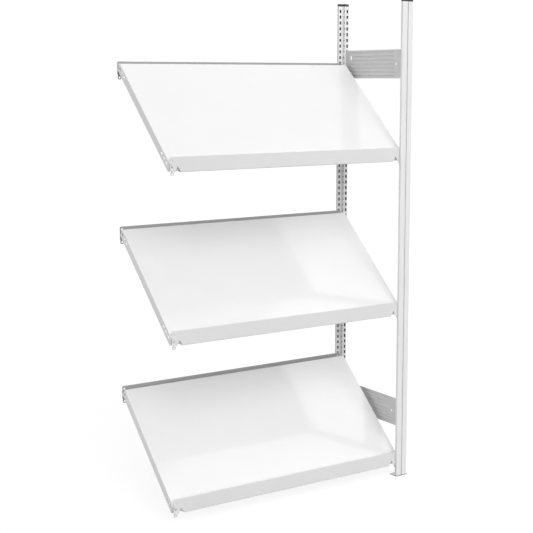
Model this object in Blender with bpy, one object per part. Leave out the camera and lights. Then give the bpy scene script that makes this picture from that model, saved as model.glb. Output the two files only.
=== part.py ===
"""Slanted shelving bay: three sloping trays hung on one pair of slotted posts.

Metres, +Z up. The bay's front faces -Y, the posts stand at its +X end, and the origin is on the floor at the
centre of the footprint. Every shelf is a tray held between a front rail and a rear rail, and both rails hook
into the slots of the posts. The rails' -X ends are free hook tabs for the next bay.
"""

import math

import bmesh
import bpy
from mathutils import Matrix, Vector

# Making
GAP = 0.0003
CUT_OVERRUN = 0.002
ARC_STEPS = 3
HOLE_SIDES = 12
BOLT_SIDES = 12

# Bay: its depth over the posts, and its width from post axis to post axis
BAY_DEPTH = 0.449
BAY_WIDTH = 1.114

# Posts: a hollow T folded from sheet, with its flange outwards and its stem into the bay
POST_LENGTH = 1.9967
POST_WIDTH = 0.054
FLANGE_DEPTH = 0.0125
STEM_WIDTH = 0.008
STEM_DEPTH = 0.014
STEM_ROOT_RADIUS = 0.0025
POST_SHEET = 0.0018
POST_FOLD_RADIUS = 0.0024
GROOVE_WIDTH = 0.004
GROOVE_DEPTH = 0.0025

# Slots in the flange's inner side, in two columns
SLOT_PITCH = 0.025
SLOT_WIDTH = 0.0085
SLOT_HEIGHT = 0.014
SLOT_OFFSET = 0.01875
LOWEST_SLOT_HEIGHT = 0.029
SLOT_END_MARGIN = 0.012

# Feet
FOOT_THICKNESS = 0.003
FOOT_WIDTH = 0.063
FOOT_DEPTH = 0.042
FOOT_TOE = 0.0015
TONGUE_WIDTH = 0.016
TONGUE_SHEET = 0.003
TONGUE_HEIGHT = 0.030

# Caps
CAP_HEIGHT = 0.0102
CAP_CHAMFER = 0.0012
PLUG_DEPTH = 0.012

# Side braces
BRACE_SHEET = 0.0012
BRACE_HEIGHT = 0.120
BRACE_END_CLEARANCE = 0.0015
BEAD_WIDTH = 0.008
BEAD_DEPTH = 0.0022
BEAD_SLOPE = 0.0025
BEAD_RUN_OUT = 0.008
BEAD_FRONT_MARGIN = 0.076
BEAD_REAR_MARGIN = 0.047
BEAD_HEIGHT_SHARES = (0.09, 0.235, 0.375, 0.515, 0.65, 0.785, 0.92)
BRACE_HOLE_DIAMETER = 0.009
BRACE_HOLE_INSET = 0.064
BRACE_SLOT_WIDTH = 0.008
BRACE_SLOT_HEIGHT = 0.018
BRACE_SLOT_INSET = 0.0475
BRACE_SLOT_DROP = 0.032
BRACE_TOP_ABOVE_SLOT = 0.0295
UPPER_BRACE_SLOTS_DOWN = 9
LOWER_BRACE_SLOT = 11
LOWER_BRACE_SHIFT = -0.006
BRACE_BOLT_STEP_SLOTS = 2

# Bolts and nuts
BOLT_DIAMETER = 0.006
BOLT_HOLE_DIAMETER = 0.0068
BOLT_INSET = 0.0205
BOLT_HEAD_DIAMETER = 0.0105
BOLT_HEAD_HEIGHT = 0.0024
BOLT_END_LENGTH = 0.0012
NUT_WIDTH = 0.010
NUT_HEIGHT = 0.005

# Shelf places on the slots
LOWEST_SHELF_SLOT = 2
SHELF_PITCH_SLOTS = 26
RAIL_RISE_SLOTS = 14

# Rails
RAIL_SHEET = 0.002
RAIL_POST_CLEARANCE = 0.0025
RAIL_TOP_ABOVE_SLOT = 0.0254
FRONT_RAIL_HEIGHT = 0.0573
FRONT_LEDGE_DEPTH = 0.020
REAR_LEDGE_DEPTH = 0.025
REAR_LEDGE_INSET = 0.012
REAR_RAIL_REVEAL = 0.0082
NOTCH_HEIGHT = 0.0223
NOTCH_END_INSET = 0.0035
NOTCH_OUTER_RUN = 0.0112
NOTCH_INNER_RUN = 0.0148
TAB_WIDTH = 0.0175
TAB_HEIGHT = 0.052
TAB_CORNER_RADIUS = 0.005
TAB_HOLE_DIAMETER = 0.0088
TAB_HOLE_DROP = 0.0122
TAB_HOLE_INSET = 0.009
TAB_HOLES = 3
TAB_RING_DIAMETER = 0.016
TAB_WAIST_WIDTH = 0.009
RING_STEPS = 10
HOOK_WIDTH = 0.005
HOOK_ROOT_HEIGHT = 0.0082
HOOK_NOSE_DROP = 0.0042
HOOK_NOSE_DEPTH = 0.0022
HOOKS_ON_TAB = 2

# Trays
TRAY_SIDE_CLEARANCE = 0.005
TRAY_REAR_CLEARANCE = 0.004
TRAY_SHEET = 0.001
TRAY_FLANGE = 0.0334
TRAY_RETURN = 0.010
TRAY_FRONT_LEAN = math.radians(24.1)
TRAY_FOLD_RADIUS = 0.0018
TRAY_SLOT_LENGTH = 0.015
TRAY_SLOT_HEIGHT = 0.0065
TRAY_SLOT_DROP = 0.015
TRAY_SLOT_INSET = 0.014
TRAY_SLOT_PITCH = 0.024
TRAY_SLOTS = 3
TILT_ROUNDS = 20

SHELF_NAMES = ("lower", "middle", "upper")

# Sizes and places that follow from the sizes above
POST_TO_SHELF_CENTRE = BAY_WIDTH / 2
RAIL_LENGTH = BAY_WIDTH - POST_WIDTH - 2 * RAIL_POST_CLEARANCE
TRAY_LENGTH = BAY_WIDTH - STEM_WIDTH - 2 * TRAY_SIDE_CLEARANCE
POST_X = (TRAY_LENGTH / 2 + POST_TO_SHELF_CENTRE - FOOT_WIDTH / 2) / 2
SHELF_X = POST_X - POST_TO_SHELF_CENTRE
FRONT_Y = -BAY_DEPTH / 2
POST_BOTTOM = FOOT_THICKNESS + GAP
POST_TOP = POST_BOTTOM + POST_LENGTH
FLANGE_INNER = FLANGE_DEPTH - POST_SHEET
RAIL_SPAN = BAY_DEPTH - 2 * (FLANGE_DEPTH + GAP)
RAIL_RISE = RAIL_RISE_SLOTS * SLOT_PITCH
SLOT_COUNT = int((POST_TOP - LOWEST_SLOT_HEIGHT - SLOT_END_MARGIN) / SLOT_PITCH) + 1
UPPER_BRACE_SLOT = SLOT_COUNT - UPPER_BRACE_SLOTS_DOWN


def tray_start(tilt):
    """The front top edge of a tray at a tilt, as (inwards, up) from the front rail's outer face and top."""
    lean = TRAY_FLANGE * math.tan(TRAY_FRONT_LEAN)
    fall = TRAY_FLANGE * math.cos(tilt) + lean * math.sin(tilt)
    return RAIL_SHEET + GAP, RAIL_SHEET - FRONT_RAIL_HEIGHT + GAP + fall


def tray_run_and_rise(tilt):
    """How far a tray's surface reaches inwards and up, to its rear edge just below the rear rail's top."""
    inwards, up = tray_start(tilt)
    rear = RAIL_SPAN - RAIL_SHEET - TRAY_REAR_CLEARANCE - TRAY_FLANGE * math.sin(tilt)
    return rear - inwards, RAIL_RISE - REAR_RAIL_REVEAL - up


def settled_tilt():
    """The tilt at which the tray lies on both rails; each round starts from the last one's answer."""
    tilt = math.atan2(RAIL_RISE, RAIL_SPAN)
    for _ in range(TILT_ROUNDS):
        run, rise = tray_run_and_rise(tilt)
        tilt = math.atan2(rise, run)
    return tilt


TRAY_TILT = settled_tilt()
TRAY_DEPTH = math.hypot(*tray_run_and_rise(TRAY_TILT))


def slot_height(index):
    """Height of a slot's centre above the floor."""
    return LOWEST_SLOT_HEIGHT + index * SLOT_PITCH


def brace_bolt_heights(brace_slot):
    """Heights of the two bolts that hold one end of a brace."""
    return [slot_height(brace_slot), slot_height(brace_slot - BRACE_BOLT_STEP_SLOTS)]


def clear_scene():
    for item in list(bpy.data.objects):
        bpy.data.objects.remove(item, do_unlink=True)


def material(name, colour, roughness, metallic):
    """One Principled BSDF finish."""
    finish = bpy.data.materials.new(name)
    finish.use_nodes = True
    shader = finish.node_tree.nodes["Principled BSDF"]
    shader.inputs["Base Color"].default_value = (*colour, 1)
    shader.inputs["Roughness"].default_value = roughness
    shader.inputs["Metallic"].default_value = metallic
    return finish


def painted(name):
    return material(name, (0.80, 0.81, 0.82), 0.42, 0)


def galvanised(name):
    return material(name, (0.55, 0.56, 0.57), 0.45, 0.7)


def dark_plastic(name):
    return material(name, (0.09, 0.09, 0.10), 0.55, 0)


def mesh_object(name, mesh_data, finish=None, parent=None, location=(0, 0, 0), turn=(0, 0, 0)):
    """Link one object to the scene."""
    item = bpy.data.objects.new(name, mesh_data)
    bpy.context.scene.collection.objects.link(item)
    item.location = location
    item.rotation_euler = turn
    item.parent = parent
    if finish:
        item.data.materials.append(finish)
    return item


def empty(name, location, turn=(0, 0, 0)):
    item = bpy.data.objects.new(name, None)
    bpy.context.scene.collection.objects.link(item)
    item.location = location
    item.rotation_euler = turn
    return item


def finished_mesh(name, shape):
    """Turn a bmesh into mesh data, with its faces pointing out."""
    bmesh.ops.recalc_face_normals(shape, faces=shape.faces)
    data = bpy.data.meshes.new(name)
    shape.to_mesh(data)
    shape.free()
    return data


def loft_rings(shape, rings, closed=False):
    """Join rings of equal point count by walls; cap both ends, or join the last ring to the first."""
    loops = [[shape.verts.new(point) for point in ring] for ring in rings]
    count = len(loops[0])
    pairs = list(zip(loops, loops[1:]))
    if closed:
        pairs.append((loops[-1], loops[0]))
    else:
        shape.faces.new(loops[0])
        shape.faces.new(loops[-1])
    for low, high in pairs:
        for i in range(count):
            j = (i + 1) % count
            shape.faces.new((low[i], low[j], high[j], high[i]))


def prism(name, outline, start, end, place):
    """Extrude a flat outline; place(a, b, depth) turns its points and the depth into X, Y, Z."""
    shape = bmesh.new()
    loft_rings(shape, [[place(a, b, depth) for a, b in outline] for depth in (start, end)])
    return finished_mesh(name, shape)


def along_x(a, b, depth):
    return (depth, a, b)


def along_y(a, b, depth):
    return (a, depth, b)


def along_z(a, b, depth):
    return (a, b, depth)


def rectangle(a0, a1, b0, b1):
    return [(a0, b0), (a1, b0), (a1, b1), (a0, b1)]


def circle(a, b, radius, sides, start=0.0):
    steps = [start + 2 * math.pi * i / sides for i in range(sides)]
    return [(a + radius * math.cos(step), b + radius * math.sin(step)) for step in steps]


def stadium(a, b, length, width, steps=ARC_STEPS):
    """A slot outline with round ends, long along a."""
    radius = width / 2
    straight = length / 2 - radius
    points = []
    for side, start in ((1, -math.pi / 2), (-1, math.pi / 2)):
        for i in range(steps + 1):
            angle = start + math.pi * i / steps
            points.append((a + side * straight + radius * math.cos(angle), b + radius * math.sin(angle)))
    return points


def rounded(points, radii, steps=ARC_STEPS):
    """Round each corner of an outline by its own radius."""
    result = []
    for i, (corner, radius) in enumerate(zip(points, radii)):
        here = Vector(corner)
        if not radius:
            result.append(tuple(here))
            continue
        before = (Vector(points[i - 1]) - here).normalized()
        after = (Vector(points[(i + 1) % len(points)]) - here).normalized()
        half_angle = before.angle(after) / 2
        reach = radius / math.tan(half_angle)
        centre = here + (before + after).normalized() * radius / math.sin(half_angle)
        first = here + before * reach - centre
        last = here + after * reach - centre
        sweep = first.angle_signed(last)
        for step in range(steps + 1):
            turn = Matrix.Rotation(-sweep * step / steps, 2)
            result.append(tuple(centre + turn @ first))
    return result


def t_outline(margin, radius):
    """The post's section, moved inwards by margin; a, b run across the flange and into the bay."""
    half = POST_WIDTH / 2 - margin
    stem = STEM_WIDTH / 2 - margin
    outer = margin
    inner = FLANGE_DEPTH - margin
    end = FLANGE_DEPTH + STEM_DEPTH - margin
    groove = GROOVE_WIDTH / 2 + margin
    root = STEM_ROOT_RADIUS + margin
    points = [(half, outer), (half, inner), (stem, inner), (stem, end)]
    points += [(-stem, end), (-stem, inner), (-half, inner), (-half, outer)]
    points += [(-groove, outer), (-groove, outer + GROOVE_DEPTH)]
    points += [(groove, outer + GROOVE_DEPTH), (groove, outer)]
    return rounded(points, [radius, radius, root, radius, radius, root, radius, radius, 0, 0, 0, 0])


def joined_cutter(name, meshes, parent):
    """One hidden cutter made of separate closed shapes."""
    shape = bmesh.new()
    for data in meshes:
        shape.from_mesh(data)
    for data in meshes:
        bpy.data.meshes.remove(data)
    cutter = mesh_object(name, finished_mesh(name, shape), parent=parent)
    hide_guide(cutter)
    return cutter


def hide_guide(item):
    item.hide_render = True
    item.display_type = "WIRE"


def boolean(item, operation, operand):
    step = item.modifiers.new(operation.lower() + " " + operand.name, "BOOLEAN")
    step.operation = operation
    step.solver = "EXACT"
    step.object = operand


def smooth_round_faces(item, angle=math.radians(35)):
    item.data.shade_smooth()
    item.data.set_sharp_from_angle(angle=angle)


# Posts, feet and caps

def post_slot_cutters():
    """Boxes through the flange's inner wall, in the post's own frame, whose base is the floor."""
    cutters = []
    for side in (-1, 1):
        centre = side * SLOT_OFFSET
        for index in range(SLOT_COUNT):
            middle = slot_height(index)
            outline = rectangle(centre - SLOT_WIDTH / 2, centre + SLOT_WIDTH / 2,
                                middle - SLOT_HEIGHT / 2, middle + SLOT_HEIGHT / 2)
            near = FLANGE_INNER - CUT_OVERRUN
            far = FLANGE_DEPTH + CUT_OVERRUN
            cutters.append(prism("slot", outline, near, far, along_y))
    return cutters


def post_bolt_cutters():
    """Round holes across the stem for the brace bolts."""
    cutters = []
    reach = STEM_WIDTH / 2 + CUT_OVERRUN
    for brace_slot in (LOWER_BRACE_SLOT, UPPER_BRACE_SLOT):
        for height in brace_bolt_heights(brace_slot):
            outline = circle(BOLT_INSET, height, BOLT_HOLE_DIAMETER / 2, HOLE_SIDES)
            cutters.append(prism("bolt hole", outline, -reach, reach, along_x))
    return cutters


def make_post(name, parent):
    """A hollow T-section tube with its slots and bolt holes."""
    outer = t_outline(0, POST_FOLD_RADIUS)
    inner = t_outline(POST_SHEET, POST_FOLD_RADIUS - POST_SHEET)
    shape = bmesh.new()
    levels = ((outer, POST_BOTTOM), (outer, POST_TOP), (inner, POST_TOP), (inner, POST_BOTTOM))
    rings = [[along_z(a, b, height) for a, b in outline] for outline, height in levels]
    loft_rings(shape, rings, closed=True)
    post = mesh_object(name, finished_mesh(name, shape), painted("painted steel, " + name), parent)
    cutter = joined_cutter(name + " slot cutter", post_slot_cutters() + post_bolt_cutters(), parent)
    boolean(post, "DIFFERENCE", cutter)
    smooth_round_faces(post)
    return post


def make_foot(name, parent):
    """A foot plate with two upright tongues that stand inside the post's flange."""
    front = -FOOT_TOE
    outline = rectangle(-FOOT_WIDTH / 2, FOOT_WIDTH / 2, front, front + FOOT_DEPTH)
    foot = mesh_object(name, prism(name, outline, 0, FOOT_THICKNESS, along_z),
                       galvanised("galvanised steel, " + name), parent)
    near = POST_SHEET + GAP
    tongues = []
    for side in (-1, 1):
        middle = side * POST_WIDTH / 4
        outline = rectangle(middle - TONGUE_WIDTH / 2, middle + TONGUE_WIDTH / 2, near, near + TONGUE_SHEET)
        tongues.append(prism("tongue", outline, FOOT_THICKNESS / 2, FOOT_THICKNESS + TONGUE_HEIGHT, along_z))
    boolean(foot, "UNION", joined_cutter(name + " tongues", tongues, parent))
    return foot


def make_cap(name, parent):
    """A cap of the post's own outline, groove and all, with a plug that fits inside the post."""
    base = POST_TOP + GAP
    top = base + CAP_HEIGHT
    cover = t_outline(0, 0)
    crown = t_outline(CAP_CHAMFER, 0)
    plug = t_outline(POST_SHEET + GAP, 0)
    shape = bmesh.new()
    levels = ((crown, top), (cover, top - CAP_CHAMFER), (cover, base), (plug, base),
              (plug, POST_TOP - PLUG_DEPTH))
    rings = [[along_z(a, b, height) for a, b in outline] for outline, height in levels]
    loft_rings(shape, rings)
    return mesh_object(name, finished_mesh(name, shape), dark_plastic("black plastic, " + name), parent)


# Side braces with their bolts and nuts

def bead_section():
    """Heights on the brace, as drops from its top, each with its bead depth."""
    rows = [(0.0, 0.0)]
    for share in BEAD_HEIGHT_SHARES:
        middle = share * BRACE_HEIGHT
        flat = BEAD_WIDTH / 2 - BEAD_SLOPE
        rows += [(middle - BEAD_WIDTH / 2, 0.0), (middle - flat, BEAD_DEPTH)]
        rows += [(middle + flat, BEAD_DEPTH), (middle + BEAD_WIDTH / 2, 0.0)]
    rows.append((BRACE_HEIGHT, 0.0))
    return rows


def make_brace(name, top, bolt_heights):
    """A beaded sheet on the stems' outer side, from behind one flange to behind the other."""
    left = POST_X + STEM_WIDTH / 2 + GAP
    front = FRONT_Y + FLANGE_DEPTH + BRACE_END_CLEARANCE
    length = BAY_DEPTH - 2 * (FLANGE_DEPTH + BRACE_END_CLEARANCE)
    runs = [(0.0, 0), (BEAD_FRONT_MARGIN, 0), (BEAD_FRONT_MARGIN + BEAD_RUN_OUT, 1)]
    runs += [(length - BEAD_REAR_MARGIN - BEAD_RUN_OUT, 1), (length - BEAD_REAR_MARGIN, 0), (length, 0)]
    section = bead_section()
    shape = bmesh.new()
    grids = []
    for face in (0, BRACE_SHEET):
        grids.append([[shape.verts.new((face + depth * share, along, -drop)) for along, share in runs]
                      for drop, depth in section])
    rows, columns = len(section), len(runs)
    for grid in grids:
        for r in range(rows - 1):
            for c in range(columns - 1):
                shape.faces.new((grid[r][c], grid[r][c + 1], grid[r + 1][c + 1], grid[r + 1][c]))
    near, far = grids
    border = [(0, c) for c in range(columns)] + [(r, columns - 1) for r in range(1, rows)]
    border += [(rows - 1, c) for c in range(columns - 2, -1, -1)] + [(r, 0) for r in range(rows - 2, 0, -1)]
    for i, (r, c) in enumerate(border):
        r2, c2 = border[(i + 1) % len(border)]
        shape.faces.new((near[r][c], near[r2][c2], far[r2][c2], far[r][c]))
    brace = mesh_object(name, finished_mesh(name, shape), galvanised("galvanised steel, " + name),
                        location=(left, front, top))
    start, end = -CUT_OVERRUN, BRACE_SHEET + BEAD_DEPTH + CUT_OVERRUN
    bolt_line = BOLT_INSET - FLANGE_DEPTH - BRACE_END_CLEARANCE
    outlines = [circle(along, height - top, BOLT_HOLE_DIAMETER / 2, HOLE_SIDES)
                for along in (bolt_line, length - bolt_line) for height in bolt_heights]
    outlines.append(circle(BRACE_HOLE_INSET, -BRACE_HEIGHT / 2, BRACE_HOLE_DIAMETER / 2, HOLE_SIDES))
    upright = stadium(-BRACE_SLOT_DROP, length - BRACE_SLOT_INSET, BRACE_SLOT_HEIGHT, BRACE_SLOT_WIDTH)
    outlines.append([(b, a) for a, b in upright])
    holes = [prism("hole", outline, start, end, along_x) for outline in outlines]
    boolean(brace, "DIFFERENCE", joined_cutter(name + " holes", holes, brace))
    return brace


def turned(name, profile, sides):
    """A solid of revolution about X from (along, radius) pairs."""
    shape = bmesh.new()
    rings = [[along_x(a, b, along) for a, b in circle(0, 0, radius, sides)] for along, radius in profile]
    loft_rings(shape, rings)
    return finished_mesh(name, shape)


def bolt_mesh():
    """A low round head and a shank through stem, brace and nut; the stem's face is at zero."""
    head = BOLT_HEAD_DIAMETER / 2
    shank = BOLT_DIAMETER / 2
    face = -GAP
    tip = STEM_WIDTH + GAP + BRACE_SHEET + GAP + NUT_HEIGHT + BOLT_END_LENGTH
    crown = face - BOLT_HEAD_HEIGHT
    shoulder = face - BOLT_HEAD_HEIGHT / 2
    profile = [(crown, shank), (shoulder, head), (face, head), (face, shank), (tip, shank)]
    return turned("brace bolt", profile, BOLT_SIDES)


def nut_mesh():
    """A hexagon nut with a plain bore that clears the shank; its seat is at zero."""
    corners = circle(0, 0, NUT_WIDTH / 2 / math.cos(math.pi / 6), 6)
    hexagon = []
    for first, second in zip(corners, corners[1:] + corners[:1]):
        hexagon += [first, ((first[0] + second[0]) / 2, (first[1] + second[1]) / 2)]
    hole = circle(0, 0, BOLT_DIAMETER / 2 + GAP, BOLT_SIDES)
    shape = bmesh.new()
    levels = ((hexagon, 0), (hexagon, NUT_HEIGHT), (hole, NUT_HEIGHT), (hole, 0))
    rings = [[along_x(a, b, depth) for a, b in outline] for outline, depth in levels]
    loft_rings(shape, rings, closed=True)
    return finished_mesh("brace nut", shape)


def make_brace_fasteners(brace_name, bolt_heights):
    stem_left = POST_X - STEM_WIDTH / 2
    seat = POST_X + STEM_WIDTH / 2 + GAP + BRACE_SHEET + GAP
    for end, along in (("front", FRONT_Y + BOLT_INSET), ("rear", FRONT_Y + BAY_DEPTH - BOLT_INSET)):
        for number, height in enumerate(bolt_heights, start=1):
            for kind, shape, across in (("bolt", bolt_mesh, stem_left), ("nut", nut_mesh, seat)):
                label = f"{brace_name}_{end}_{kind}_{number}"
                mesh_object(label, shape(), galvanised("zinc plated, " + label),
                            location=(across, along, height))


# Rails

def half_rail_outline(height, notched):
    """The +X half of a rail's face, as (across, up) points clockwise from its top corner."""
    body = RAIL_LENGTH / 2
    outside = body + TAB_WIDTH
    hole = outside - TAB_HOLE_INSET
    ring = TAB_RING_DIAMETER / 2
    waist = TAB_WAIST_WIDTH / 2
    drop = TAB_HOLE_DROP + (TAB_HOLES - 1) * SLOT_PITCH
    start = math.acos(waist / ring)
    tab_top = rounded([(body, 0.0), (outside, 0.0), (outside, -TAB_HEIGHT)], [0, TAB_CORNER_RADIUS, 0])[1:]
    points = tab_top + [(hole + waist, -TAB_HEIGHT)]
    for i in range(RING_STEPS + 1):
        angle = start - (math.pi + 2 * start) * i / RING_STEPS
        points.append((hole + ring * math.cos(angle), -drop + ring * math.sin(angle)))
    points += [(hole - waist, -TAB_HEIGHT), (body, -TAB_HEIGHT), (body, -height)]
    if notched:
        notch = body - NOTCH_END_INSET
        points.append((notch, -height))
        points.append((notch - NOTCH_OUTER_RUN, -height + NOTCH_HEIGHT))
        points.append((notch - NOTCH_OUTER_RUN - NOTCH_INNER_RUN, -height))
    return points


def rail_outline(height, notched):
    half = half_rail_outline(height, notched)
    return half + [(-across, up) for across, up in reversed(half)]


def hook_outline():
    """A hook seen from the side: through the slot, then down behind the wall, as (inwards, up) points."""
    seat = -RAIL_TOP_ABOVE_SLOT - SLOT_HEIGHT / 2 + GAP
    wall_back = -(GAP + POST_SHEET + GAP)
    nose = wall_back - HOOK_NOSE_DEPTH
    root = RAIL_SHEET / 2
    tip = seat - HOOK_NOSE_DROP
    top = seat + HOOK_ROOT_HEIGHT
    return [(root, seat), (wall_back, seat), (wall_back, tip), (nose, tip), (nose, top), (root, top)]


def rail_hooks():
    across = POST_TO_SHELF_CENTRE - SLOT_OFFSET
    hooks = []
    for side in (-1, 1):
        for number in range(HOOKS_ON_TAB):
            outline = [(inwards, up - number * SLOT_PITCH) for inwards, up in hook_outline()]
            middle = side * across
            hooks.append(prism("hook", outline, middle - HOOK_WIDTH / 2, middle + HOOK_WIDTH / 2, along_x))
    return hooks


def rail_hole_cutters():
    across = RAIL_LENGTH / 2 + TAB_WIDTH - TAB_HOLE_INSET
    cutters = []
    for side in (-1, 1):
        for number in range(TAB_HOLES):
            drop = TAB_HOLE_DROP + number * SLOT_PITCH
            outline = circle(side * across, -drop, TAB_HOLE_DIAMETER / 2, HOLE_SIDES)
            cutters.append(prism("tab hole", outline, -CUT_OVERRUN, RAIL_SHEET + CUT_OVERRUN, along_y))
    return cutters


def make_rail(name, height, notched, ledge, ledge_half, parent, location=(0, 0, 0), turn=(0, 0, 0)):
    """An upright face plate with a hook tab at each end and one ledge folded into the bay."""
    rail = mesh_object(name, prism(name, rail_outline(height, notched), 0, RAIL_SHEET, along_y),
                       painted("painted steel, " + name), parent, location, turn)
    folds = [prism("ledge", ledge, -ledge_half, ledge_half, along_x)]
    boolean(rail, "UNION", joined_cutter(name + " ledge", folds, rail))
    boolean(rail, "UNION", joined_cutter(name + " hooks", rail_hooks(), rail))
    boolean(rail, "DIFFERENCE", joined_cutter(name + " tab holes", rail_hole_cutters(), rail))
    return rail


# Trays

def make_tray(name, parent):
    """A sheet with flanges folded down on all four sides and a narrow return at their lower edge."""
    lean = math.tan(TRAY_FRONT_LEAN)
    half = TRAY_LENGTH / 2

    def ring(inset, drop):
        """The tray's four corners at a drop below its surface; the front flange leans forwards."""
        outline = rectangle(inset - half, half - inset, inset - drop * lean, TRAY_DEPTH - inset)
        return [(side, along, -drop) for side, along in outline]

    def fold(wall, radius):
        """The bend from the surface into the flanges, for the sheet's face that lies wall below the top."""
        rings = []
        for step in range(ARC_STEPS + 1):
            angle = math.pi / 2 * step / ARC_STEPS
            rings.append(ring(wall + radius * (1 - math.sin(angle)), wall + radius * (1 - math.cos(angle))))
        return rings

    shape = bmesh.new()
    rings = fold(0, TRAY_FOLD_RADIUS)
    rings += [ring(0, TRAY_FLANGE), ring(TRAY_RETURN, TRAY_FLANGE)]
    rings += [ring(TRAY_RETURN, TRAY_FLANGE - TRAY_SHEET), ring(TRAY_SHEET, TRAY_FLANGE - TRAY_SHEET)]
    rings += reversed(fold(TRAY_SHEET, TRAY_FOLD_RADIUS - TRAY_SHEET))
    loft_rings(shape, rings)
    inwards, up = tray_start(TRAY_TILT)
    tray = mesh_object(name, finished_mesh(name, shape), painted("painted steel, " + name), parent,
                       (0, inwards, up), (TRAY_TILT, 0, 0))
    centres = []
    for number in range(TRAY_SLOTS):
        along = TRAY_SLOT_INSET + number * TRAY_SLOT_PITCH
        centres += [along, TRAY_DEPTH - along]
    slots = []
    for side in (-1, 1):
        near = side * (half - TRAY_SHEET - CUT_OVERRUN)
        far = side * (half + CUT_OVERRUN)
        for along in centres:
            outline = stadium(along, -TRAY_SLOT_DROP, TRAY_SLOT_LENGTH, TRAY_SLOT_HEIGHT)
            slots.append(prism("tray slot", outline, near, far, along_x))
    boolean(tray, "DIFFERENCE", joined_cutter(name + " side slots", slots, tray))
    return tray


def rear_ledge_and_height():
    """The rear rail's sloping ledge, flush under the tray, as (inwards, up) from that rail's face and top.

    The rail's face plate ends at the ledge's root, which gives its height.
    """
    slope = Vector((math.cos(TRAY_TILT), math.sin(TRAY_TILT)))
    square = Vector((math.sin(TRAY_TILT), -math.cos(TRAY_TILT)))
    underside = Vector(tray_start(TRAY_TILT)) + square * (TRAY_FLANGE + GAP)
    root = RAIL_SPAN - RAIL_SHEET / 2
    fold = underside + slope * ((root - underside.x) / slope.x)
    tip = fold - slope * (RAIL_SHEET / 2 / slope.x + REAR_LEDGE_DEPTH)
    back = Vector((root, fold.y - RAIL_SHEET / slope.x))
    corners = [fold, tip, tip + square * RAIL_SHEET, back]
    return [(RAIL_SPAN - corner.x, corner.y - RAIL_RISE) for corner in corners], RAIL_RISE - back.y


def make_shelf(label, slot):
    """One shelf: its front rail on the named slot, its rear rail further up, and the tray between them."""
    top = slot_height(slot) + RAIL_TOP_ABOVE_SLOT
    shelf = empty(label + " shelf", (SHELF_X, FRONT_Y + FLANGE_DEPTH + GAP, top))
    front_ledge = rectangle(RAIL_SHEET / 2, RAIL_SHEET + FRONT_LEDGE_DEPTH,
                            -FRONT_RAIL_HEIGHT, RAIL_SHEET - FRONT_RAIL_HEIGHT)
    notch_inner = RAIL_LENGTH / 2 - NOTCH_END_INSET - NOTCH_OUTER_RUN - NOTCH_INNER_RUN
    make_rail(label + "_front_rail", FRONT_RAIL_HEIGHT, True, front_ledge, notch_inner, shelf)
    rear_ledge, rear_height = rear_ledge_and_height()
    make_rail(label + "_rear_rail", rear_height, False, rear_ledge, RAIL_LENGTH / 2 - REAR_LEDGE_INSET, shelf,
              (0, RAIL_SPAN, RAIL_RISE), (0, 0, math.pi))
    make_tray(label + "_shelf_tray", shelf)


def build():
    clear_scene()
    front = empty("front post place", (POST_X, FRONT_Y, 0))
    rear = empty("rear post place", (POST_X, FRONT_Y + BAY_DEPTH, 0), (0, 0, math.pi))
    for end, place in (("front", front), ("rear", rear)):
        make_post(end + "_post", place)
        make_foot(end + "_foot", place)
        make_cap(end + "_post_cap", place)
    braces = (("upper", UPPER_BRACE_SLOT, 0), ("lower", LOWER_BRACE_SLOT, LOWER_BRACE_SHIFT))
    for brace_name, slot, shift in braces:
        heights = brace_bolt_heights(slot)
        make_brace(brace_name + "_side_brace", heights[0] + BRACE_TOP_ABOVE_SLOT + shift, heights)
        make_brace_fasteners(brace_name + "_brace", heights)
    for number, label in enumerate(SHELF_NAMES):
        make_shelf(label, LOWEST_SHELF_SLOT + number * SHELF_PITCH_SLOTS)


build()
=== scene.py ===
"""Looks for a slanted shelving bay: slotted posts, side braces and sloping trays between rails.

Metres, +Z up, in the frame of the solid model. Rails, trays and braces start as the outer face
of their sheet, bent where the real one is bent, and Solidify gives them their wall. The posts'
slots, the bolts and the nuts are laid out by Geometry Nodes. Places come from the boxes of the
solids that the pieces stand for.
"""

import math

import bmesh
import bpy
from mathutils import Matrix, Vector


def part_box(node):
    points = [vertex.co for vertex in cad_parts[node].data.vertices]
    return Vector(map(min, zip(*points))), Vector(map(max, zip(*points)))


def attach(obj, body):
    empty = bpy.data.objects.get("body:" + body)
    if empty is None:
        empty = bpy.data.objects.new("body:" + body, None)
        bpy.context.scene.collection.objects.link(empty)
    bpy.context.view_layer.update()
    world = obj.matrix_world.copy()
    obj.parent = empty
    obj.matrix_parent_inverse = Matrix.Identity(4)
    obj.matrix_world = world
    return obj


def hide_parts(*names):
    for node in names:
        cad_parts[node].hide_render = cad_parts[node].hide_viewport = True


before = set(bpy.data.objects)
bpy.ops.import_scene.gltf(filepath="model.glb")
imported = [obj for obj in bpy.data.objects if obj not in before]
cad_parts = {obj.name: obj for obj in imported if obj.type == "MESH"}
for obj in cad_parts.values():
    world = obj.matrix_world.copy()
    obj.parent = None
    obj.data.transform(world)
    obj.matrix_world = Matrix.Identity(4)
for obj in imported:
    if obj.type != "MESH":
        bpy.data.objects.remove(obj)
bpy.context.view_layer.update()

# Camera: where the photograph was taken from
CAMERA_PLACE = (-2.6437, -4.0428, 1.6937)
CAMERA_TURN = math.radians(33.114)
CAMERA_PITCH = math.radians(7.271)
CAMERA_LENS_MM = 80.49
CAMERA_SENSOR_MM = 36
CAMERA_SHIFT_UP = -0.07

# Making
GAP = 0.0003
CUT_OVERRUN = 0.002
MERGE_DISTANCE = 0.00002
HAIR_RADIUS = 0.0001
BARE_FACES = "bare"
ARC_STEPS = 5
HOLE_SIDES = 24
SHARP_ANGLE = math.radians(38)

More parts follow.
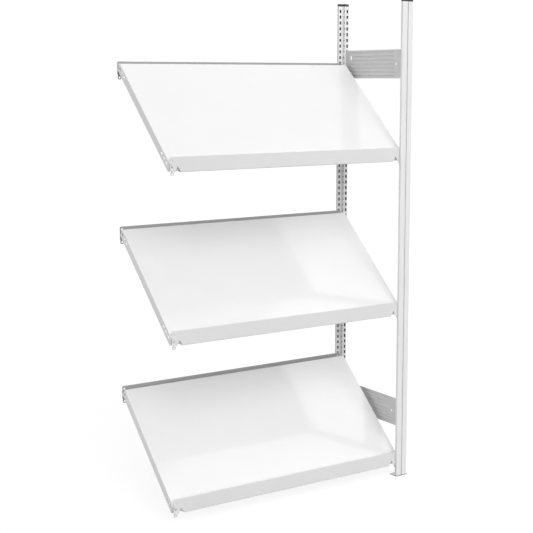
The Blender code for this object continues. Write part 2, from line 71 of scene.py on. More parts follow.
# Posts
POST_SHEET = 0.0018
POST_FOLD_RADIUS = 0.0024
STEM_ROOT_RADIUS = 0.0025
STEM_WIDTH = 0.008
STEM_DEPTH = 0.014
GROOVE_WIDTH = 0.004
GROOVE_DEPTH = 0.0025
GROOVE_RADIUS = 0.0003
SLOT_PITCH = 0.025
SLOT_WIDTH = 0.0085
SLOT_HEIGHT = 0.014
SLOT_CORNER_RADIUS = 0.002
SLOT_CORNER_STEPS = 3
SLOT_OFFSET = 0.01875
LOWEST_SLOT_HEIGHT = 0.029
SLOT_COUNT = 79
STEM_HOLE_DIAMETER = 0.0068
STEM_HOLE_INSET = 0.0205
STEM_HOLE_SIDES = 16

# Feet
FOOT_THICKNESS = 0.003
FOOT_CORNER_RADIUS = 0.003
FOOT_EDGE = 0.0005
TONGUE_WIDTH = 0.016
TONGUE_SHEET = 0.003
TONGUE_CORNER_RADIUS = 0.004

# Caps
CAP_CROWN_RADIUS = 0.0014
PLUG_END_TAPER = 0.0006

# Side braces
BRACE_SHEET = 0.0012
BEAD_WIDTH = 0.008
BEAD_DEPTH = 0.0022
BEAD_SLOPE = 0.0025
BEAD_FLANK_STEPS = 4
BEAD_END_STEPS = 8
BEAD_FRONT_MARGIN = 0.078
BEAD_REAR_MARGIN = 0.049
BEAD_HEIGHT_SHARES = (0.09, 0.235, 0.375, 0.515, 0.65, 0.785, 0.92)
BRACE_HOLE_DIAMETER = 0.009
BRACE_HOLE_INSET = 0.064
BRACE_SLOT_WIDTH = 0.008
BRACE_SLOT_HEIGHT = 0.018
BRACE_SLOT_INSET = 0.0475
BRACE_SLOT_DROP = 0.032

# Bolts and nuts
BOLT_DIAMETER = 0.006
BOLT_NUMBERS = (1, 2)
BOLT_SIDES = 24
BOLT_TURNS = [2 * math.pi * i / BOLT_SIDES for i in range(BOLT_SIDES)]
BOLT_HEAD_DIAMETER = 0.0105
BOLT_HEAD_FLAT_RADIUS = BOLT_HEAD_DIAMETER / 24
BOLT_HEAD_HEIGHT = 0.0024
BOLT_END_LENGTH = 0.0012
THREAD_PITCH = 0.001
THREAD_DEPTH = 0.0003
THREAD_STEPS = 4
NUT_WIDTH = 0.010
NUT_HEIGHT = 0.005
NUT_CHAMFER = 0.0006
NUT_CHAMFER_DEPTH = 0.00035
CHAMFER_STEPS = 3
TURN_SEED = 5

# Rails
RAIL_SHEET = 0.002
RAIL_FOLD_RADIUS = 0.003
FRONT_RAIL_HEIGHT = 0.0573
FRONT_LEDGE_DEPTH = 0.020
REAR_LEDGE_DEPTH = 0.025
REAR_LEDGE_INSET = 0.012
NOTCH_HEIGHT = 0.0223
NOTCH_END_INSET = 0.0035
NOTCH_OUTER_RUN = 0.0112
NOTCH_INNER_RUN = 0.0148
TAB_WIDTH = 0.0175
TAB_HEIGHT = 0.052
TAB_CORNER_RADIUS = 0.005
TAB_HOLE_DIAMETER = 0.0088
TAB_HOLE_DROP = 0.0122
TAB_HOLE_INSET = 0.009
TAB_HOLES = 3
TAB_RING_DIAMETER = 0.016
TAB_WAIST_WIDTH = 0.009
RING_STEPS = 28
HOOK_WIDTH = 0.005
HOOK_SEAT_DROP = 0.0321
HOOK_ROOT_HEIGHT = 0.0082
HOOK_NOSE_DROP = 0.0042
HOOK_NOSE_DEPTH = 0.0022
HOOK_CORNER_RADIUS = 0.0009
HOOKS_ON_TAB = 2
POST_TO_SHELF_CENTRE = 0.557

# Trays
TRAY_SHEET = 0.001
TRAY_FLANGE = 0.0334
TRAY_RETURN = 0.010
TRAY_FRONT_LEAN = math.radians(24.1)
TRAY_FOLD_RADIUS = 0.0018
TRAY_CORNER_RELIEF = 0.0016
TRAY_REAR_CLEARANCE = 0.004
REAR_RAIL_REVEAL = 0.0082
TRAY_SLOT_LENGTH = 0.015
TRAY_SLOT_HEIGHT = 0.0065
TRAY_SLOT_DROP = 0.015
TRAY_SLOT_INSET = 0.014
TRAY_SLOT_PITCH = 0.024
TRAY_SLOTS = 3
TILT_ROUNDS = 20

SHELF_NAMES = ("lower", "middle", "upper")
BRACE_NAMES = ("lower", "upper")

# Finishes
COAT_CLOUD = 0.14
GLOSS_CLOUD = 0.05
GLOSS_DRIFT = 0.008
PEEL_WAVE = 0.0026
PEEL_WIDE_WAVE = 0.007
PEEL_FINE_SHARE = 0.35
PEEL_HEIGHT = 0.00005
SPANGLE_WIDTH = 0.009
SPANGLE_SHARE = 0.55
ROLLING_LINE_GAP = 0.0015
ROLLING_STRETCH = 0.02
ROLLING_DETAIL = 3
# Painted shade in corners and gaps: how far around a point is looked at, and how dark the closest
# corners are painted
CREVICE_REACH = 0.012
CREVICE_SAMPLES = 16
CREVICE_CLOSED = 0.35
CREVICE_OPEN = 0.85
CREVICE_SHADE = 0.5

# Nodes: where most of a noise's values lie, and the sockets of a Mix node that mixes colours
NOISE_LOW = 0.3
NOISE_HIGH = 0.7
MIX_SHARE = 0
MIX_A = 6
MIX_B = 7
MIX_RESULT = 2

# Stage
FLOOR_HALF = 30.0
FLOOR_DROP = 0.0004
FLOOR_LIFT = 0.78
PAPER_CLOUD = 0.6
WORLD_FILL = 0.5

# Places read from the solids
FRONT_POST_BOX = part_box("front_post")
REAR_POST_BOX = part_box("rear_post")
FOOT_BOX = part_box("front_foot")
CAP_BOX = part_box("front_post_cap")
TRAY_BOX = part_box("lower_shelf_tray")
POST_WIDTH = FRONT_POST_BOX[1].x - FRONT_POST_BOX[0].x
FLANGE_DEPTH = FRONT_POST_BOX[1].y - FRONT_POST_BOX[0].y - STEM_DEPTH
POST_X = (FRONT_POST_BOX[0].x + FRONT_POST_BOX[1].x) / 2
FRONT_Y = FRONT_POST_BOX[0].y
REAR_Y = REAR_POST_BOX[1].y
BOLT_LINES = {"front": FRONT_Y + STEM_HOLE_INSET, "rear": REAR_Y - STEM_HOLE_INSET}
POST_BOTTOM = FRONT_POST_BOX[0].z
POST_TOP = FRONT_POST_BOX[1].z
RAIL_SPAN = REAR_Y - FRONT_Y - 2 * (FLANGE_DEPTH + GAP)
SHELF_X = (TRAY_BOX[0].x + TRAY_BOX[1].x) / 2
TRAY_LENGTH = TRAY_BOX[1].x - TRAY_BOX[0].x
RAIL_LENGTH = 2 * (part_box("lower_front_rail")[1].x - SHELF_X - TAB_WIDTH)
RAIL_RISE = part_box("lower_rear_rail")[1].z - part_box("lower_front_rail")[1].z


def linear(hex_colour):
    """An sRGB hex colour as the linear RGBA that shader sockets take."""
    channels = [int(hex_colour[i:i + 2], 16) / 255 for i in (1, 3, 5)]
    return (*[c / 12.92 if c <= 0.04045 else ((c + 0.055) / 1.055) ** 2.4 for c in channels], 1)


def connect(tree, node, values=None, links=None):
    """Gives a node its unlinked values and the sockets that feed it."""
    for socket, value in (values or {}).items():
        node.inputs[socket].default_value = value
    for socket, source in (links or {}).items():
        tree.links.new(source, node.inputs[socket])
    return node


def add(tree, kind, values=None, links=None, **settings):
    """One node with its settings, its unlinked values and the sockets that feed it."""
    node = tree.nodes.new(kind)
    for name, value in settings.items():
        setattr(node, name, value)
    return connect(tree, node, values, links)


# Materials

def new_finish(name):
    """An empty material, its tree, its surface shader and the coordinates its patterns read."""
    finish = bpy.data.materials.new(name)
    finish.use_nodes = True
    tree = finish.node_tree
    place = add(tree, "ShaderNodeTexCoord").outputs["Object"]
    return finish, tree, tree.nodes["Principled BSDF"], place


def cloudy(tree, place, grain, low, high, detail=2):
    """A value that drifts between two limits, in soft clouds about that many metres wide."""
    noise = add(tree, "ShaderNodeTexNoise", {"Scale": 1 / grain, "Detail": detail},
                {"Vector": place}).outputs["Fac"]
    limits = {"From Min": NOISE_LOW, "From Max": NOISE_HIGH, "To Min": low, "To Max": high}
    return add(tree, "ShaderNodeMapRange", limits, {"Value": noise}).outputs["Result"]


def mottled(tree, place, grain, dark, light):
    """A colour that drifts between two sRGB colours in such clouds."""
    return add(tree, "ShaderNodeMix", {MIX_A: linear(dark), MIX_B: linear(light)},
               {MIX_SHARE: cloudy(tree, place, grain, 0, 1)},
               data_type="RGBA").outputs[MIX_RESULT]


def relief(tree, place, grain, height, strength, detail=2):
    """The normals of soft bumps, with their grain and height in metres."""
    noise = add(tree, "ShaderNodeTexNoise", {"Scale": 1 / grain, "Detail": detail},
                {"Vector": place}).outputs["Fac"]
    return add(tree, "ShaderNodeBump", {"Strength": strength, "Distance": height},
               {"Height": noise}).outputs["Normal"]


def painted_crevice_shade(tree, colour):
    """Painted shade: a colour darkened in corners and gaps narrower than a finger, by how closed in
    they are.
    """
    openness = add(tree, "ShaderNodeAmbientOcclusion", {"Distance": CREVICE_REACH},
                   samples=CREVICE_SAMPLES, only_local=True).outputs["AO"]
    limits = {"From Min": CREVICE_CLOSED, "From Max": CREVICE_OPEN,
              "To Min": CREVICE_SHADE, "To Max": 1}
    share = add(tree, "ShaderNodeMapRange", limits, {"Value": openness}).outputs["Result"]
    return add(tree, "ShaderNodeMix", {MIX_SHARE: 1}, {MIX_A: colour, MIX_B: share},
               data_type="RGBA", blend_type="MULTIPLY").outputs[MIX_RESULT]


def powder_coat(name, dark, light, roughness, coat, coat_roughness, paint_crevice_shade=False):
    """Polyester powder, sprayed on and baked: an even, hard skin with a faint orange peel.

    The peel's real waves are 2 to 3 mm wide. They are drawn twice, at that size for a close look
    and 7 mm wide, so that reflections of the edges still waver a little from where the photograph
    was taken. Tone and gloss drift over 14 and 5 cm, as the powder's thickness does.
    """
    finish, tree, shader, place = new_finish(name)
    colour = mottled(tree, place, COAT_CLOUD, dark, light)
    gloss = cloudy(tree, place, GLOSS_CLOUD, roughness - GLOSS_DRIFT, roughness + GLOSS_DRIFT)
    fine, wide = [add(tree, "ShaderNodeTexNoise", {"Scale": 1 / wave}, {"Vector": place})
                  for wave in (PEEL_WAVE, PEEL_WIDE_WAVE)]
    peel = add(tree, "ShaderNodeMath", {1: PEEL_FINE_SHARE},
               {0: fine.outputs["Fac"], 2: wide.outputs["Fac"]}, operation="MULTIPLY_ADD")
    bumps = add(tree, "ShaderNodeBump", {"Strength": 0.2, "Distance": PEEL_HEIGHT},
                {"Height": peel.outputs[0]}).outputs["Normal"]
    # Where asked, painted shade darkens the base colour in the piece's own corners and gaps.
    connect(tree, shader, {"Coat Weight": coat, "Coat Roughness": coat_roughness},
            {"Base Color": painted_crevice_shade(tree, colour) if paint_crevice_shade else colour,
             "Roughness": gloss, "Normal": bumps, "Coat Normal": bumps})
    return finish


def galvanised_sheet(name):
    """Hot-dip galvanised strip: dull grey zinc with a soft spangle and fine lines from rolling.

    The spangle's crystals are 6 to 12 mm wide. The rolling lines are really hair-fine and are
    drawn 1.5 mm apart, the finest that the picture can hold.
    """
    finish, tree, shader, place = new_finish(name)
    crystals = add(tree, "ShaderNodeTexVoronoi", {"Scale": 1 / SPANGLE_WIDTH}, {"Vector": place})
    tone = add(tree, "ShaderNodeSeparateColor", None, {"Color": crystals.outputs["Color"]})
    rolled = add(tree, "ShaderNodeMapping", {"Scale": (1, ROLLING_STRETCH, 1)},
                 {"Vector": place}).outputs["Vector"]
    lines = cloudy(tree, rolled, ROLLING_LINE_GAP, 0, 1 - SPANGLE_SHARE, ROLLING_DETAIL)
    blend = add(tree, "ShaderNodeMath", {1: SPANGLE_SHARE}, {0: tone.outputs["Red"], 2: lines},
                operation="MULTIPLY_ADD").outputs[0]
    colour = add(tree, "ShaderNodeMix", {MIX_A: linear("#c8c8c8"), MIX_B: linear("#d4d4d4")},
                 {MIX_SHARE: blend}, data_type="RGBA").outputs[MIX_RESULT]
    limits = {"From Min": 0.2, "From Max": 0.8, "To Min": 0.38, "To Max": 0.52}
    gloss = add(tree, "ShaderNodeMapRange", limits, {"Value": blend}).outputs["Result"]
    bumps = relief(tree, rolled, ROLLING_LINE_GAP, height=0.00003, strength=0.25,
                   detail=ROLLING_DETAIL)
    # Painted shade darkens the zinc's colour in the brace's own creases and corners, such as along
    # the beads.
    connect(tree, shader, {"Metallic": 0.6},
            {"Base Color": painted_crevice_shade(tree, colour), "Roughness": gloss, "Normal": bumps})
    return finish


def zinc_plated_steel(name):
    """Bright zinc on turned and pressed steel: cool silver, cleaner and smoother than the sheet.

    Its tone drifts over 4 mm, as the plating's thickness does, and its gloss over 1.5 mm.
    """
    finish, tree, shader, place = new_finish(name)
    connect(tree, shader, {"Metallic": 1}, {
        "Base Color": mottled(tree, place, 0.004, "#8c8e90", "#a0a2a4"),
        "Roughness": cloudy(tree, place, 0.0015, 0.26, 0.38),
        "Normal": relief(tree, place, 0.004, height=0.00002, strength=0.2)})
    return finish


def bare_inside_with_painted_shade(name):
    """Cold-rolled steel inside a post, where no powder lands: dull and clouded over 2 cm, and its
    dark tone is painted shade for the hollow seen through the slots.
    """
    finish, tree, shader, place = new_finish(name)
    # The dark base colour is partly the bare steel and partly painted shade inside the hollow.
    connect(tree, shader, {"Metallic": 0.4}, {
        "Base Color": mottled(tree, place, 0.02, "#5c5c5c", "#6c6c6c"),
        "Roughness": cloudy(tree, place, 0.02, 0.5, 0.65)})
    return finish


def moulded_polypropylene(name):
    """Black polypropylene from a spark-eroded mould: a matt, very slightly pebbled skin.

    Real pebbles are 0.2 mm wide and would not show, so they are drawn 1.2 mm wide.
    """
    finish, tree, shader, place = new_finish(name)
    connect(tree, shader, None, {
        "Base Color": mottled(tree, place, 0.01, "#333436", "#3d3e40"),
        "Roughness": cloudy(tree, place, 0.0012, 0.46, 0.6, detail=1),
        "Normal": relief(tree, place, 0.0012, height=0.00004, strength=0.5, detail=1)})
    return finish


def seen_directly(tree):
    """One for rays from the camera or by way of a mirroring or clear surface, and else zero."""
    path = add(tree, "ShaderNodeLightPath").outputs
    seen = path["Is Camera Ray"]
    for kind in ("Is Glossy Ray", "Is Transmission Ray"):
        seen = add(tree, "ShaderNodeMath", None, {0: seen, 1: path[kind]},
                   operation="MAXIMUM").outputs[0]
    return seen


def studio_floor(name):
    """Matt white paper: it shows white in free light and keeps the object's soft shadow."""
    finish, tree, shader, place = new_finish(name)
    clouds = add(tree, "ShaderNodeTexNoise", {"Scale": 1 / PAPER_CLOUD}, {"Vector": place})
    colour = add(tree, "ShaderNodeMix", {MIX_A: linear("#969696"), MIX_B: linear("#9a9a9a")},
                 {MIX_SHARE: clouds.outputs["Fac"]}, data_type="RGBA").outputs[MIX_RESULT]
    lift = add(tree, "ShaderNodeMath", {1: FLOOR_LIFT}, {0: seen_directly(tree)},
               operation="MULTIPLY").outputs[0]
    connect(tree, shader,
            {"Roughness": 0.9, "Specular IOR Level": 0, "Emission Color": (1, 1, 1, 1)},
            {"Base Color": colour, "Emission Strength": lift})
    return finish


# Mesh making

def mesh_from(name, shape, outwards=True):
    """Turn a bmesh into mesh data; a closed one gets its faces pointing out."""
    if outwards:
        bmesh.ops.recalc_face_normals(shape, faces=shape.faces)
    data = bpy.data.meshes.new(name)
    shape.to_mesh(data)
    shape.free()
    return data


def item_from(name, data, finish=None):
    item = bpy.data.objects.new(name, data)
    bpy.context.scene.collection.objects.link(item)
    if finish:
        data.materials.append(finish)
    return item


def applied(item):
    """The object with its modifiers made part of its mesh."""
    bpy.context.view_layer.update()
    evaluated = item.evaluated_get(bpy.context.evaluated_depsgraph_get())
    data = bpy.data.meshes.new_from_object(evaluated)
    item.modifiers.clear()
    item.data = data
    return item


def settled(item, place=None):
    """The finished piece: moved into place, with flat faces flat and folds smooth."""
    if place:
        item.data.transform(place)
    item.data.shade_smooth()
    item.data.set_sharp_from_angle(angle=SHARP_ANGLE)
    normals = item.modifiers.new("flat faces stay flat", "WEIGHTED_NORMAL")
    normals.keep_sharp = True
    return applied(item)


def wall_between(shape, low, high):
    """The faces that join two loops of equal point count."""
    count = len(low)
    return [shape.faces.new((low[i], low[(i + 1) % count], high[(i + 1) % count], high[i]))
            for i in range(count)]


def loft_rings(shape, rings, closed=False):
    """Join rings of equal point count; cap both ends, or join the last ring to the first."""
    loops = [[shape.verts.new(point) for point in ring] for ring in rings]
    if not closed:
        shape.faces.new(loops[0])
        shape.faces.new(loops[-1])
    for low, high in zip(loops, loops[1:]):
        wall_between(shape, low, high)
    if closed:
        wall_between(shape, loops[-1], loops[0])


def prism(name, outline, start, end, place):
    """Extrude a flat outline; place(a, b, depth) turns its points and the depth into X, Y, Z."""
    shape = bmesh.new()
    loft_rings(shape, [[place(a, b, depth) for a, b in outline] for depth in (start, end)])
    return mesh_from(name, shape)


def along_x(a, b, depth):
    return (depth, a, b)


def along_y(a, b, depth):
    return (a, depth, b)


def rectangle(a0, a1, b0, b1):
    return [(a0, b0), (a1, b0), (a1, b1), (a0, b1)]


def circle(a, b, radius, sides=HOLE_SIDES):
    """A ring of points that starts at its lowest one."""
    turns = [2 * math.pi * i / sides - math.pi / 2 for i in range(sides)]
    return [(a + radius * math.cos(turn), b + radius * math.sin(turn)) for turn in turns]


def stadium(a, b, length, width, steps=2 * ARC_STEPS):
    """A slot outline with round ends, long along a."""
    radius = width / 2
    straight = length / 2 - radius
    points = []
    for side, start in ((1, -math.pi / 2), (-1, math.pi / 2)):
        for i in range(steps + 1):
            angle = start + math.pi * i / steps
            points.append((a + side * straight + radius * math.cos(angle),
                           b + radius * math.sin(angle)))
    return points


def quarter_round(radius):
    """The round of a soft edge, as (inset, drop) from a face's rim to the wall beside it."""
    angles = [math.pi / 2 * step / ARC_STEPS for step in range(ARC_STEPS + 1)]
    return [(radius * (1 - math.sin(angle)), radius * (1 - math.cos(angle))) for angle in angles]


def rounded(points, radii, steps=ARC_STEPS):
    """Round each corner of an outline by its own radius."""
    result = []
    for i, (corner, radius) in enumerate(zip(points, radii)):
        here = Vector(corner)
        if not radius:
            result.append(tuple(here))
            continue
        before = (Vector(points[i - 1]) - here).normalized()
        after = (Vector(points[(i + 1) % len(points)]) - here).normalized()
        half_angle = before.angle(after) / 2
        reach = radius / math.tan(half_angle)
        centre = here + (before + after).normalized() * radius / math.sin(half_angle)
        first = here + before * reach - centre
        last = here + after * reach - centre
        sweep = first.angle_signed(last)
        for step in range(steps + 1):
            turn = Matrix.Rotation(-sweep * step / steps, 2)
            result.append(tuple(centre + turn @ first))
    return result


def boolean(item, operation, meshes):
    """Add to or cut from a piece with closed shapes, and make the result part of its mesh."""
    shape = bmesh.new()
    for data in meshes:
        shape.from_mesh(data)
    for data in meshes:
        bpy.data.meshes.remove(data)
    tool = item_from("tool", mesh_from("tool", shape))
    step = item.modifiers.new(operation.lower(), "BOOLEAN")
    step.operation = operation
    step.solver = "EXACT"
    step.object = tool
    applied(item)
    bpy.data.objects.remove(tool, do_unlink=True)


def sheet(name, shape, outer, thickness, finish):
    """A wall of sheet metal behind a surface whose largest face looks towards outer."""
    bmesh.ops.recalc_face_normals(shape, faces=shape.faces)
    shape.normal_update()
    widest = max(shape.faces, key=lambda face: face.calc_area())
    if widest.normal.dot(Vector(outer)) < 0:
        bmesh.ops.reverse_faces(shape, faces=shape.faces)
    item = item_from(name, mesh_from(name, shape, outwards=False), finish)
    wall = item.modifiers.new("wall", "SOLIDIFY")
    wall.thickness = thickness
    wall.offset = -1
    wall.use_even_offset = True
    return applied(item)


def node_tree(name, inputs):
    """An empty Geometry Nodes tree with named inputs, its input sockets and its end."""
    tree = bpy.data.node_groups.new(name, "GeometryNodeTree")
    for label, kind in inputs:
        tree.interface.new_socket(name=label, in_out="INPUT", socket_type=kind)
    tree.interface.new_socket(name="Geometry", in_out="OUTPUT",
                              socket_type="NodeSocketGeometry")
    given = add(tree, "NodeGroupInput").outputs
    return tree, given, add(tree, "NodeGroupOutput").inputs["Geometry"]


def grown(name, tree, values):
    """A plain mesh object made by a tree from the values of its named inputs."""
    item = item_from(name, bpy.data.meshes.new(name))
    step = item.modifiers.new(tree.name, "NODES")
    step.node_group = tree
    for socket in tree.interface.items_tree:
        if socket.in_out == "INPUT":
            step[socket.identifier] = values[socket.name]
    return applied(item)


# Making the posts, feet and caps

def t_section(margin):
    """The post's section, moved inwards by margin; a, b run across the flange and into the bay."""
    half = POST_WIDTH / 2 - margin
    stem = STEM_WIDTH / 2 - margin
    inner = FLANGE_DEPTH - margin
    end = FLANGE_DEPTH + STEM_DEPTH - margin
    fold = max(POST_FOLD_RADIUS - margin, HAIR_RADIUS)
    root = STEM_ROOT_RADIUS + margin
    points = [(half, margin), (half, inner), (stem, inner), (stem, end)]
    points += [(-stem, end), (-stem, inner), (-half, inner), (-half, margin)]
    groove = GROOVE_WIDTH / 2 + margin
    points += [(-groove, margin), (-groove, margin + GROOVE_DEPTH)]
    points += [(groove, margin + GROOVE_DEPTH), (groove, margin)]
    radii = [fold, fold, root, fold, fold, root, fold, fold] + [GROOVE_RADIUS] * 4
    return rounded(points, radii)


def wall_opening(start, end):
    """The opening in the wall between two points of the section, as (along it, up), or None."""
    middle = SLOT_PITCH / 2
    across = abs(end[0] - start[0])
    inwards = abs(end[1] - start[1])
    if across > SLOT_WIDTH and start[1] > FLANGE_DEPTH / 2:
        centre = math.copysign(SLOT_OFFSET, start[0])
        left, right = centre - SLOT_WIDTH / 2, centre + SLOT_WIDTH / 2
        low, high = middle - SLOT_HEIGHT / 2, middle + SLOT_HEIGHT / 2
        corners = [(centre, low), (right, low), (right, high),
                   (centre, high), (left, high), (left, low)]
        corner = SLOT_CORNER_RADIUS
        return rounded(corners, [0, corner, corner, 0, corner, corner], SLOT_CORNER_STEPS)
    if inwards > STEM_HOLE_DIAMETER and abs(start[0]) < STEM_WIDTH:
        return circle(STEM_HOLE_INSET, middle, STEM_HOLE_DIAMETER / 2, STEM_HOLE_SIDES)
    return None


def post_step():
    """One pitch of a post, with its slots and the stem's holes half way up."""
    shape = bmesh.new()
    bare = shape.faces.layers.int.new(BARE_FACES)
    skins = [t_section(0), t_section(POST_SHEET)]
    lows = [[shape.verts.new((a, b, 0)) for a, b in skin] for skin in skins]
    highs = [[shape.verts.new((a, b, SLOT_PITCH)) for a, b in skin] for skin in skins]
    count = len(skins[0])
    for i in range(count):
        j = (i + 1) % count
        opening = wall_opening(skins[0][i], skins[0][j])
        rims = []
        for inside, (skin, low, high) in enumerate(zip(skins, lows, highs)):
            if not opening:
                shape.faces.new((low[i], low[j], high[j], high[i]))[bare] = inside
                continue
            (a, b), (next_a, next_b) = skin[i], skin[j]
            in_flange = abs(next_a - a) > abs(next_b - b)
            rim = [shape.verts.new((along, b, up) if in_flange else (a, along, up))
                   for along, up in opening]
            forwards = next_a > a if in_flange else next_b > b
            near, far = (i, j) if forwards else (j, i)
            half = len(rim) // 2
            far_side = [low[far], high[far]] + rim[half::-1]
            near_side = [high[near], low[near], rim[0]] + rim[:half - 1:-1]
            above = [high[far], high[near], rim[half]]
            below = [low[near], low[far], rim[0]]
            for corners in (far_side, near_side, above, below):
                shape.faces.new(corners)[bare] = inside
            rims.append(rim)
        if rims:
            wall_between(shape, *rims)
    return mesh_from("post step", shape)


def post_ends(start):
    """The plain stretches below the first step and above the last, with the sheet's end faces."""
    shape = bmesh.new()
    bare = shape.faces.layers.int.new(BARE_FACES)
    stop = start + SLOT_COUNT * SLOT_PITCH
    for tip, joint in ((POST_BOTTOM, start), (POST_TOP, stop)):
        outer, outer_tip, inner_tip, inner = [
            [shape.verts.new((a, b, up)) for a, b in t_section(margin)]
            for margin, up in ((0, joint), (0, tip), (POST_SHEET, tip), (POST_SHEET, joint))]
        wall_between(shape, outer, outer_tip)
        wall_between(shape, outer_tip, inner_tip)
        for face in wall_between(shape, inner_tip, inner):
            face[bare] = 1
    return mesh_from("post ends", shape)


def slotted_post_tree():
    """Stacks one pitch of the post up its length and joins it to the plain ends."""
    tree, given, result = node_tree("slotted post", (
        ("Step", "NodeSocketObject"), ("Ends", "NodeSocketObject"), ("Steps", "NodeSocketInt"),
        ("Pitch", "NodeSocketFloat"), ("First step height", "NodeSocketFloat"),
        ("Weld distance", "NodeSocketFloat"), ("Finish", "NodeSocketMaterial"),
        ("Bare", "NodeSocketMaterial")))
    climb = add(tree, "ShaderNodeCombineXYZ", links={"Z": given["Pitch"]})
    first = add(tree, "ShaderNodeCombineXYZ", links={"Z": given["First step height"]})
    places = add(tree, "GeometryNodeMeshLine", links={
        "Count": given["Steps"], "Start Location": first.outputs[0], "Offset": climb.outputs[0]})
    step = add(tree, "GeometryNodeObjectInfo", links={"Object": given["Step"]})
    ends = add(tree, "GeometryNodeObjectInfo", links={"Object": given["Ends"]})
    stack = add(tree, "GeometryNodeInstanceOnPoints", links={
        "Points": places.outputs["Mesh"], "Instance": step.outputs["Geometry"]})
    real = add(tree, "GeometryNodeRealizeInstances", links={
        "Geometry": stack.outputs["Instances"]})
    whole = add(tree, "GeometryNodeJoinGeometry", links={"Geometry": real.outputs["Geometry"]})
    tree.links.new(ends.outputs["Geometry"], whole.inputs["Geometry"])
    welded = add(tree, "GeometryNodeMergeByDistance", links={
        "Geometry": whole.outputs["Geometry"], "Distance": given["Weld distance"]})
    painted = add(tree, "GeometryNodeSetMaterial", links={
        "Geometry": welded.outputs["Geometry"], "Material": given["Finish"]})
    inside = add(tree, "GeometryNodeInputNamedAttribute", {"Name": BARE_FACES}, data_type="INT")
    lined = add(tree, "GeometryNodeSetMaterial", links={
        "Geometry": painted.outputs["Geometry"], "Selection": inside.outputs["Attribute"],
        "Material": given["Bare"]})
    tree.links.new(lined.outputs["Geometry"], result)
    return tree


def facing_out(item):
    """A closed mesh with every face turned outwards."""
    shape = bmesh.new()
    shape.from_mesh(item.data)
    bmesh.ops.recalc_face_normals(shape, faces=shape.faces)
    shape.to_mesh(item.data)
    shape.free()
    return item


def make_post(name, tree, finish, lining, place):
    start = LOWEST_SLOT_HEIGHT - SLOT_PITCH / 2
    step = item_from("post step", post_step())
    ends = item_from("post ends", post_ends(start))
    post = grown(name, tree, {
        "Step": step, "Ends": ends, "Steps": SLOT_COUNT, "Pitch": SLOT_PITCH,
        "First step height": start, "Weld distance": MERGE_DISTANCE,
        "Finish": finish, "Bare": lining})
    for helper in (step, ends):
        bpy.data.objects.remove(helper, do_unlink=True)
    return settled(facing_out(post), place)


def make_foot(name, finish, place):
    """A foot plate with rounded corners and two tongues that stand inside the post's flange."""
    half = (FOOT_BOX[1].x - FOOT_BOX[0].x) / 2
    toe = FOOT_BOX[0].y - FRONT_Y
    heel = FOOT_BOX[1].y - FRONT_Y
    rings = []
    for inset, up in ((FOOT_EDGE, 0), (0, FOOT_EDGE), (0, FOOT_THICKNESS - FOOT_EDGE),
                      (FOOT_EDGE, FOOT_THICKNESS)):
        corners = rectangle(inset - half, half - inset, toe + inset, heel - inset)
        outline = rounded(corners, [FOOT_CORNER_RADIUS - inset] * 4)
        rings.append([(a, b, up) for a, b in outline])
    shape = bmesh.new()
    loft_rings(shape, rings)
    foot = item_from(name, mesh_from(name, shape), finish)
    near = POST_SHEET + GAP
    tongues = []
    for side in (-1, 1):
        middle = side * POST_WIDTH / 4
        corners = rectangle(middle - TONGUE_WIDTH / 2, middle + TONGUE_WIDTH / 2,
                            FOOT_THICKNESS / 2, FOOT_BOX[1].z)
        ends = rounded(corners, [0, 0, TONGUE_CORNER_RADIUS, TONGUE_CORNER_RADIUS])
        tongues.append(prism("tongue", ends, near, near + TONGUE_SHEET, along_y))
    boolean(foot, "UNION", tongues)
    return settled(foot, place)


def make_cap(name, finish, place):
    """A cap of the post's outline, with a softly rounded crown and a plug inside the post."""
    base, top, tip = POST_TOP + GAP, CAP_BOX[1].z, CAP_BOX[0].z
    plug = POST_SHEET + GAP
    levels = [(inset, top - drop) for inset, drop in quarter_round(CAP_CROWN_RADIUS)]
    levels += [(0, base), (plug, base)]
    levels += [(plug, tip + PLUG_END_TAPER), (plug + PLUG_END_TAPER, tip)]
    shape = bmesh.new()
    loft_rings(shape, [[(a, b, up) for a, b in t_section(margin)] for margin, up in levels])
    return settled(item_from(name, mesh_from(name, shape), finish), place)


# Making the side braces with their bolts and nuts

def smooth_step(share):
    share = min(max(share, 0), 1)
    return share * share * (3 - 2 * share)


def bead_depth(along, drop, length, height):
    """How far the sheet is pressed out: each bead is a long stadium with sloping flanks."""
    start = BEAD_FRONT_MARGIN + BEAD_WIDTH / 2
    stop = length - BEAD_REAR_MARGIN - BEAD_WIDTH / 2
    beyond = max(start - along, along - stop, 0)
    deepest = 0
    for share in BEAD_HEIGHT_SHARES:
        inside = BEAD_WIDTH / 2 - math.hypot(drop - share * height, beyond)
        deepest = max(deepest, BEAD_DEPTH * smooth_step(inside / BEAD_SLOPE))
    return deepest


